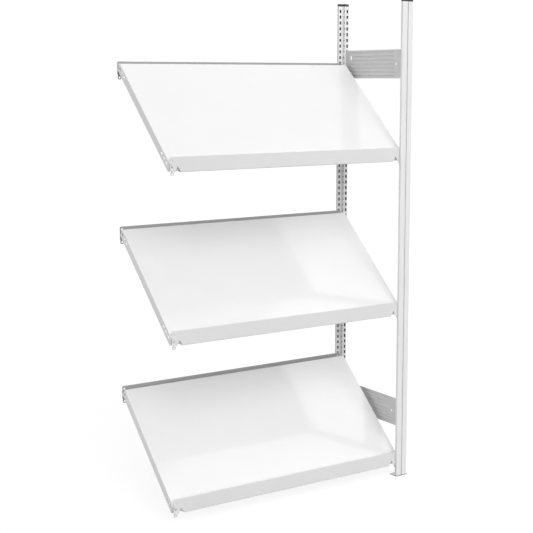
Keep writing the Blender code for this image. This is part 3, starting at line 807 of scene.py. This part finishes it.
def make_brace(label, finish, bolt_heights):
    """A beaded sheet on the stems' outer side, pressed from one flat blank."""
    low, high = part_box(f"{label}_side_brace")
    length, height = high.y - low.y, high.z - low.z
    drops = {0.0, height}
    for share in BEAD_HEIGHT_SHARES:
        for step in range(BEAD_FLANK_STEPS + 1):
            reach = BEAD_WIDTH / 2 - BEAD_SLOPE * step / BEAD_FLANK_STEPS
            drops |= {share * height - reach, share * height + reach}
    runs = {0.0, length}
    for step in range(BEAD_END_STEPS + 1):
        reach = BEAD_WIDTH / 2 * step / BEAD_END_STEPS
        runs |= {BEAD_FRONT_MARGIN + reach, length - BEAD_REAR_MARGIN - reach}
    shape = bmesh.new()
    rows = []
    for drop in sorted(drops):
        row = [(low.x + bead_depth(along, drop, length, height), low.y + along, high.z - drop)
               for along in sorted(runs)]
        rows.append([shape.verts.new(point) for point in row])
    for upper, lower in zip(rows, rows[1:]):
        for c in range(len(upper) - 1):
            shape.faces.new((upper[c], upper[c + 1], lower[c + 1], lower[c]))
    brace = sheet(f"{label}_beaded_brace", shape, (-1, 0, 0), BRACE_SHEET, finish)
    outlines = [circle(along, up, STEM_HOLE_DIAMETER / 2)
                for along in BOLT_LINES.values() for up in bolt_heights]
    outlines.append(circle(low.y + BRACE_HOLE_INSET, high.z - height / 2,
                           BRACE_HOLE_DIAMETER / 2))
    upright = stadium(high.z - BRACE_SLOT_DROP, high.y - BRACE_SLOT_INSET,
                      BRACE_SLOT_HEIGHT, BRACE_SLOT_WIDTH)
    outlines.append([(b, a) for a, b in upright])
    start, end = low.x - CUT_OVERRUN, high.x + CUT_OVERRUN
    holes = [prism("brace hole", outline, start, end, along_x) for outline in outlines]
    boolean(brace, "DIFFERENCE", holes)
    return settled(brace)


def turned_mesh(name, rings, closed=False):
    """A mesh round the X axis, from rings of (along, radii) with a radius for each of its sides."""
    shape = bmesh.new()
    loft_rings(shape, [[(along, radius * math.cos(turn), radius * math.sin(turn))
                        for radius, turn in zip(radii, BOLT_TURNS)]
                       for along, radii in rings], closed)
    return mesh_from(name, shape)


def bolt_mesh(stack):
    """A mushroom-head bolt along X, its seat at zero and threaded from the stem's far side on."""
    head, shank = BOLT_HEAD_DIAMETER / 2, BOLT_DIAMETER / 2
    rings = []
    for step in range(ARC_STEPS + 1):
        angle = math.pi / 2 * step / ARC_STEPS
        radius = max(head * math.sin(angle), BOLT_HEAD_FLAT_RADIUS)
        rings.append((-GAP - BOLT_HEAD_HEIGHT * math.cos(angle), [radius] * BOLT_SIDES))
    rings.append((-GAP, [shank] * BOLT_SIDES))
    tip = stack + NUT_HEIGHT + BOLT_END_LENGTH
    count = round((tip - STEM_WIDTH) / THREAD_PITCH * THREAD_STEPS)
    for k in range(count + 1):
        along = STEM_WIDTH + (tip - STEM_WIDTH) * k / count
        fade = min(1, k / THREAD_STEPS)
        radii = []
        for i in range(BOLT_SIDES):
            wave = abs(((along / THREAD_PITCH - i / BOLT_SIDES) % 1) * 2 - 1)
            radii.append(shank - THREAD_DEPTH * (1 - wave) * fade)
        rings.append((along, radii))
    rings.append((tip, [shank - 2 * THREAD_DEPTH] * BOLT_SIDES))
    return turned_mesh("bolt", rings)


def nut_mesh():
    """A hexagon nut along X with turned chamfers on both faces; its seat is at zero."""
    hexagon = [NUT_WIDTH / 2 / math.cos(turn % (math.pi / 3) - math.pi / 6)
               for turn in BOLT_TURNS]
    cones = []
    for step in range(CHAMFER_STEPS + 1):
        share = step / CHAMFER_STEPS
        cones.append((NUT_CHAMFER_DEPTH * share, max(hexagon) - NUT_CHAMFER * (1 - share)))
    cones += [(NUT_HEIGHT - depth, radius) for depth, radius in reversed(cones)]
    bore = [BOLT_DIAMETER / 2 + GAP] * BOLT_SIDES
    rings = [(along, [min(flat, cone) for flat in hexagon]) for along, cone in cones]
    return turned_mesh("nut", [(0, bore)] + rings + [(NUT_HEIGHT, bore)], closed=True)


def fastener_tree():
    """Puts a fastener on each of its places, turned about its axis by a seeded random angle."""
    tree, given, result = node_tree("fasteners", (
        ("Fastener", "NodeSocketObject"), ("Places", "NodeSocketObject"),
        ("Largest turn", "NodeSocketFloat"), ("Seed", "NodeSocketInt"),
        ("Finish", "NodeSocketMaterial")))
    places = add(tree, "GeometryNodeObjectInfo", links={"Object": given["Places"]})
    fastener = add(tree, "GeometryNodeObjectInfo", links={"Object": given["Fastener"]})
    chance = add(tree, "FunctionNodeRandomValue", data_type="FLOAT")
    largest = [s for s in chance.inputs if s.name == "Max" and s.enabled][0]
    tree.links.new(given["Largest turn"], largest)
    tree.links.new(given["Seed"], chance.inputs["Seed"])
    angle = [s for s in chance.outputs if s.enabled][0]
    turn = add(tree, "ShaderNodeCombineXYZ", links={"X": angle})
    copies = add(tree, "GeometryNodeInstanceOnPoints", links={
        "Points": places.outputs["Geometry"], "Instance": fastener.outputs["Geometry"],
        "Rotation": turn.outputs[0]})
    real = add(tree, "GeometryNodeRealizeInstances", links={
        "Geometry": copies.outputs["Instances"]})
    plated = add(tree, "GeometryNodeSetMaterial", links={
        "Geometry": real.outputs["Geometry"], "Material": given["Finish"]})
    tree.links.new(plated.outputs["Geometry"], result)
    return tree


def make_fasteners(name, tree, mesh, places, largest_turn, finish):
    fastener = item_from("fastener", mesh)
    marks = bpy.data.meshes.new("places")
    marks.from_pydata(places, [], [])
    spots = item_from("places", marks)
    group = grown(name, tree, {
        "Fastener": fastener, "Places": spots, "Largest turn": largest_turn,
        "Seed": TURN_SEED, "Finish": finish})
    for helper in (fastener, spots):
        bpy.data.objects.remove(helper, do_unlink=True)
    return settled(group)


# Making the rails

def half_rail_outline(bottom):
    """The +X half of a rail's face, as (across, up) clockwise from its top to its lower edge."""
    body = RAIL_LENGTH / 2
    outside = body + TAB_WIDTH
    hole = outside - TAB_HOLE_INSET
    ring = TAB_RING_DIAMETER / 2
    waist = TAB_WAIST_WIDTH / 2
    drop = TAB_HOLE_DROP + (TAB_HOLES - 1) * SLOT_PITCH
    start = math.acos(waist / ring)
    points = rounded([(body, 0.0), (outside, 0.0), (outside, -TAB_HEIGHT)],
                     [0, TAB_CORNER_RADIUS, 0])[1:]
    points.append((hole + waist, -TAB_HEIGHT))
    for i in range(RING_STEPS + 1):
        angle = start - (math.pi + 2 * start) * i / RING_STEPS
        points.append((hole + ring * math.cos(angle), -drop + ring * math.sin(angle)))
    return points + [(hole - waist, -TAB_HEIGHT), (body, -TAB_HEIGHT)] + bottom


def rail_hooks():
    """Hooks that pass through the post's slots and drop behind its wall."""
    seat = -HOOK_SEAT_DROP
    wall_back = -(GAP + POST_SHEET + GAP)
    nose = wall_back - HOOK_NOSE_DEPTH
    root = RAIL_SHEET / 2
    tip = seat - HOOK_NOSE_DROP
    top = seat + HOOK_ROOT_HEIGHT
    corners = [(root, seat), (wall_back, seat), (wall_back, tip),
               (nose, tip), (nose, top), (root, top)]
    soft = HOOK_CORNER_RADIUS
    outline = rounded(corners, [0, 0, soft, soft, 2 * soft, 0])
    across = POST_TO_SHELF_CENTRE - SLOT_OFFSET
    hooks = []
    for side in (-1, 1):
        start = side * across - HOOK_WIDTH / 2
        end = side * across + HOOK_WIDTH / 2
        for number in range(HOOKS_ON_TAB):
            lowered = [(inwards, up - number * SLOT_PITCH) for inwards, up in outline]
            hooks.append(prism("hook", lowered, start, end, along_x))
    return hooks


def make_rail(name, finish, half_outline, fold_rings, place):
    """A rail bent from one sheet: a face with a tab at each end, and the ledge under the tray.

    The fold's rings are (half length, inwards, up), from the face's lower edge to the ledge's tip.
    """
    shape = bmesh.new()
    half = [shape.verts.new((across, 0, up)) for across, up in half_outline]
    other = [shape.verts.new((-across, 0, up)) for across, up in half_outline]
    shape.faces.new(half + other[::-1])
    left, right = other[-1], half[-1]
    for reach, inwards, up in fold_rings:
        next_left = shape.verts.new((-reach, inwards, up))
        next_right = shape.verts.new((reach, inwards, up))
        shape.faces.new((left, right, next_right, next_left))
        left, right = next_left, next_right
    rail = sheet(name, shape, (0, -1, 0), RAIL_SHEET, finish)
    boolean(rail, "UNION", rail_hooks())
    across = RAIL_LENGTH / 2 + TAB_WIDTH - TAB_HOLE_INSET
    holes = []
    for side in (-1, 1):
        for number in range(TAB_HOLES):
            drop = TAB_HOLE_DROP + number * SLOT_PITCH
            outline = circle(side * across, -drop, TAB_HOLE_DIAMETER / 2)
            holes.append(prism("tab hole", outline, -CUT_OVERRUN, RAIL_SHEET + CUT_OVERRUN,
                               along_y))
    boolean(rail, "DIFFERENCE", holes)
    return settled(rail, place)


def make_front_rail(name, finish, place):
    """The upright lip, with a notch near each end, folded under the tray's front edge."""
    notch = RAIL_LENGTH / 2 - NOTCH_END_INSET
    inner = notch - NOTCH_OUTER_RUN - NOTCH_INNER_RUN
    base = -FRONT_RAIL_HEIGHT
    section = rounded([(0, 0), (0, base), (RAIL_SHEET + FRONT_LEDGE_DEPTH, base)],
                      [0, RAIL_FOLD_RADIUS, 0])
    fold_start = section[1][1]
    slant = NOTCH_INNER_RUN / NOTCH_HEIGHT
    bottom = [(RAIL_LENGTH / 2, base), (notch, base),
              (notch - NOTCH_OUTER_RUN, base + NOTCH_HEIGHT),
              (inner + slant * (fold_start - base), fold_start)]
    rings = [(inner + slant * (up - base), inwards, up) for inwards, up in section[2:]]
    return make_rail(name, finish, half_rail_outline(bottom), rings, place)


def tray_start(tilt):
    """A tray's front top edge at a tilt, as (inwards, up) from the front rail's outer top edge."""
    lean = TRAY_FLANGE * math.tan(TRAY_FRONT_LEAN)
    fall = TRAY_FLANGE * math.cos(tilt) + lean * math.sin(tilt)
    return RAIL_SHEET + GAP, RAIL_SHEET - FRONT_RAIL_HEIGHT + GAP + fall


def tray_run_and_rise(tilt):
    """How far a tray's surface runs inwards and up, to its edge just below the rear rail's top."""
    inwards, up = tray_start(tilt)
    rear = RAIL_SPAN - RAIL_SHEET - TRAY_REAR_CLEARANCE - TRAY_FLANGE * math.sin(tilt)
    return rear - inwards, RAIL_RISE - REAR_RAIL_REVEAL - up


def settled_tilt():
    """The tilt at which the tray lies on both rails; each round starts from the last answer."""
    tilt = math.atan2(RAIL_RISE, RAIL_SPAN)
    for _ in range(TILT_ROUNDS):
        run, rise = tray_run_and_rise(tilt)
        tilt = math.atan2(rise, run)
    return tilt


TRAY_TILT = settled_tilt()
TRAY_DEPTH = math.hypot(*tray_run_and_rise(TRAY_TILT))


def make_rear_rail(name, finish, place):
    """The rail behind the tray, bent forwards so that its ledge lies flush under the tray."""
    slope = Vector((math.cos(TRAY_TILT), math.sin(TRAY_TILT)))
    square = Vector((math.sin(TRAY_TILT), -math.cos(TRAY_TILT)))
    underside = Vector(tray_start(TRAY_TILT)) + square * (TRAY_FLANGE + GAP)
    below = underside + square * RAIL_SHEET
    corner = below + slope * ((RAIL_SPAN - below.x) / slope.x)
    tip = corner - slope * (RAIL_SHEET / slope.x + REAR_LEDGE_DEPTH)
    fold = (0, corner.y - RAIL_RISE)
    end = (RAIL_SPAN - tip.x, tip.y - RAIL_RISE)
    section = rounded([(0, 0), fold, end], [0, RAIL_FOLD_RADIUS, 0])
    reach = RAIL_LENGTH / 2 - REAR_LEDGE_INSET
    face_bottom = fold[1] + RAIL_SHEET / 2 * math.tan(TRAY_TILT)
    bottom = [(RAIL_LENGTH / 2, face_bottom), (reach, face_bottom), (reach, section[1][1])]
    rings = [(reach, inwards, up) for inwards, up in section[2:]]
    turned_round = (Matrix.Translation((0, RAIL_SPAN, RAIL_RISE))
                    @ Matrix.Rotation(math.pi, 4, "Z"))
    return make_rail(name, finish, half_rail_outline(bottom), rings, place @ turned_round)


# Making the trays

def make_tray(name, finish, place):
    """A tray folded from one sheet: four flanges with a narrow return, open at the corners."""
    lean = math.tan(TRAY_FRONT_LEAN)
    half = TRAY_LENGTH / 2
    fold = quarter_round(TRAY_FOLD_RADIUS)
    profile = fold + [(drop, TRAY_FLANGE - inset) for inset, drop in fold]
    profile.append((TRAY_RETURN, TRAY_FLANGE))
    shape = bmesh.new()
    rings = []
    for inset, drop in profile:
        outline = rectangle(inset - half, half - inset, inset - drop * lean, TRAY_DEPTH - inset)
        rings.append([(across, along, -drop) for across, along in outline])
    top = [shape.verts.new(point) for point in rings[0]]
    shape.faces.new(top)
    for side in range(4):
        start, end = side, (side + 1) % 4
        upper = (top[start], top[end])
        back_off = TRAY_CORNER_RELIEF if side % 2 else 0
        for ring in rings[1:]:
            first, last = Vector(ring[start]), Vector(ring[end])
            trim = (last - first).normalized() * back_off
            lower = (shape.verts.new(first + trim), shape.verts.new(last - trim))
            shape.faces.new((upper[0], upper[1], lower[1], lower[0]))
            upper = lower
    tray = sheet(name, shape, (0, 0, 1), TRAY_SHEET, finish)
    slots = []
    for side in (-1, 1):
        near = side * (half - TRAY_SHEET - CUT_OVERRUN)
        far = side * (half + CUT_OVERRUN)
        for number in range(TRAY_SLOTS):
            from_edge = TRAY_SLOT_INSET + number * TRAY_SLOT_PITCH
            for along in (from_edge, TRAY_DEPTH - from_edge):
                outline = stadium(along, -TRAY_SLOT_DROP, TRAY_SLOT_LENGTH, TRAY_SLOT_HEIGHT)
                slots.append(prism("tray slot", outline, near, far, along_x))
    boolean(tray, "DIFFERENCE", slots)
    inwards, up = tray_start(TRAY_TILT)
    tilted = Matrix.Translation((0, inwards, up)) @ Matrix.Rotation(TRAY_TILT, 4, "X")
    return settled(tray, place @ tilted)


# Stage, light and camera

def make_floor():
    shape = bmesh.new()
    corners = rectangle(-FLOOR_HALF, FLOOR_HALF, -FLOOR_HALF, FLOOR_HALF)
    shape.faces.new([shape.verts.new((a, b, -FLOOR_DROP)) for a, b in corners])
    floor = item_from("studio_floor", mesh_from("floor", shape, outwards=False),
                      studio_floor("matt_white_paper"))


def make_world():
    """White wherever it is seen or mirrored, and a softer fill for the light on the object."""
    world = bpy.data.worlds.new("studio")
    world.use_nodes = True
    tree = world.node_tree
    strength = add(tree, "ShaderNodeMath", {1: 1 - WORLD_FILL, 2: WORLD_FILL},
                   {0: seen_directly(tree)}, operation="MULTIPLY_ADD").outputs[0]
    connect(tree, tree.nodes["Background"], {"Color": (1, 1, 1, 1)}, {"Strength": strength})
    bpy.context.scene.world = world


def make_sun(name, towards, strength, softness):
    """A broad, even lamp in the given direction, that many degrees wide."""
    lamp = bpy.data.lights.new(name, "SUN")
    lamp.energy = strength
    lamp.angle = math.radians(softness)
    item = item_from(name, lamp)
    item.rotation_euler = Vector(towards).to_track_quat("Z", "Y").to_euler()


def make_softbox(name, place, aim, size, power):
    """A square soft lamp near the object, brightest where it is nearest."""
    lamp = bpy.data.lights.new(name, "AREA")
    lamp.size = size
    lamp.energy = power
    item = item_from(name, lamp)
    item.location = place
    item.rotation_euler = (Vector(place) - Vector(aim)).to_track_quat("Z", "Y").to_euler()


def make_camera():
    lens = bpy.data.cameras.new("photograph")
    lens.sensor_width = CAMERA_SENSOR_MM
    lens.lens = CAMERA_LENS_MM
    lens.shift_y = CAMERA_SHIFT_UP
    camera = item_from("photograph", lens)
    camera.location = CAMERA_PLACE
    camera.rotation_euler = (math.pi / 2 - CAMERA_PITCH, 0, -CAMERA_TURN)
    bpy.context.scene.camera = camera


# The whole bay

def take_place(piece, slot, *nodes):
    """The piece stands for its solids in the frame."""
    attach(piece, "root")
    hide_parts(*nodes)


def build_posts(zinc):
    # The posts' coat carries painted shade in their own corners, groove and slots.
    coat = powder_coat("powder_coated_steel_pale_grey", "#ebebeb", "#eeeeee",
                       roughness=0.34, coat=0.15, coat_roughness=0.16, paint_crevice_shade=True)
    lining = bare_inside_with_painted_shade("bare_steel_darkened_as_painted_shade_in_posts")
    black = moulded_polypropylene("moulded_black_polypropylene")
    tree = slotted_post_tree()
    front = Matrix.Translation((POST_X, FRONT_Y, 0))
    rear = Matrix.Translation((POST_X, REAR_Y, 0)) @ Matrix.Rotation(math.pi, 4, "Z")
    for end, place in (("front", front), ("rear", rear)):
        post = make_post(f"{end}_slotted_post", tree, coat, lining, place)
        take_place(post, "painted_post", f"{end}_post")
        foot = make_foot(f"{end}_foot_plate", zinc, place)
        take_place(foot, "zinc_steel", f"{end}_foot")
        cap = make_cap(f"{end}_cap_moulding", black, place)
        take_place(cap, "cap_plastic", f"{end}_post_cap")


def bolt_height(label, number):
    low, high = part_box(f"{label}_brace_front_bolt_{number}")
    return (low.z + high.z) / 2


def build_braces(zinc):
    galvanised = galvanised_sheet("hot_dip_galvanised_sheet")
    bolts, nuts, bolt_places = [], [], []
    for label in BRACE_NAMES:
        heights = [bolt_height(label, number) for number in BOLT_NUMBERS]
        brace = make_brace(label, galvanised, heights)
        take_place(brace, "brace_steel", f"{label}_side_brace")
        for end, along in BOLT_LINES.items():
            for number, height in zip(BOLT_NUMBERS, heights):
                bolts.append(f"{label}_brace_{end}_bolt_{number}")
                nuts.append(f"{label}_brace_{end}_nut_{number}")
                bolt_places.append((POST_X - STEM_WIDTH / 2, along, height))
    stack = STEM_WIDTH + GAP + BRACE_SHEET + GAP
    nut_places = [(across + stack, along, height) for across, along, height in bolt_places]
    tree = fastener_tree()
    group = make_fasteners("brace_bolts", tree, bolt_mesh(stack), bolt_places, 2 * math.pi, zinc)
    take_place(group, "zinc_steel", *bolts)
    group = make_fasteners("brace_nuts", tree, nut_mesh(), nut_places, math.pi / 3, zinc)
    take_place(group, "zinc_steel", *nuts)


def build_shelves():
    grey_coat = powder_coat("powder_coated_steel_light_grey", "#e2e2e2", "#e5e5e5",
                            roughness=0.34, coat=0.15, coat_roughness=0.16)
    # Painted shade: the rear rails get a darker copy of the rails' grey coat, for the shade they
    # stand in behind the trays' rear edges.
    rear_rail_shaded_coat = powder_coat("grey_coat_darkened_as_painted_shade", "#a2a2a2", "#a8a8a8",
                            roughness=0.38, coat=0.1, coat_roughness=0.16)
    white_coat = powder_coat("powder_coated_steel_white", "#efefef", "#f1f1f1",
                             roughness=0.18, coat=0.9, coat_roughness=0.07)
    for label in SHELF_NAMES:
        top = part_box(f"{label}_front_rail")[1].z
        place = Matrix.Translation((SHELF_X, FRONT_Y + FLANGE_DEPTH + GAP, top))
        rail = make_front_rail(f"{label}_lip_rail", grey_coat, place)
        take_place(rail, "painted_rail", f"{label}_front_rail")
        rail = make_rear_rail(f"{label}_back_rail", rear_rail_shaded_coat, place)
        take_place(rail, "painted_rail", f"{label}_rear_rail")
        tray = make_tray(f"{label}_tray", white_coat, place)
        take_place(tray, "painted_shelf", f"{label}_shelf_tray")


shared_zinc = zinc_plated_steel("bright_zinc_plated_steel")
build_posts(shared_zinc)
build_braces(shared_zinc)
build_shelves()
make_floor()
make_world()
make_sun("key", towards=(-0.2, -0.87, 0.45), strength=1.78, softness=60)
make_sun("side", towards=(-0.65, -0.5, 0.57), strength=0.14, softness=60)
make_sun("back", towards=(0.35, 0.8, 0.5), strength=0.35, softness=60)
make_softbox("corner", place=(1.5, -1.05, 2.45), aim=(0.45, 0.0, 1.3), size=1.5, power=3.6)
make_camera()
bpy.context.scene.view_settings.view_transform = "Standard"
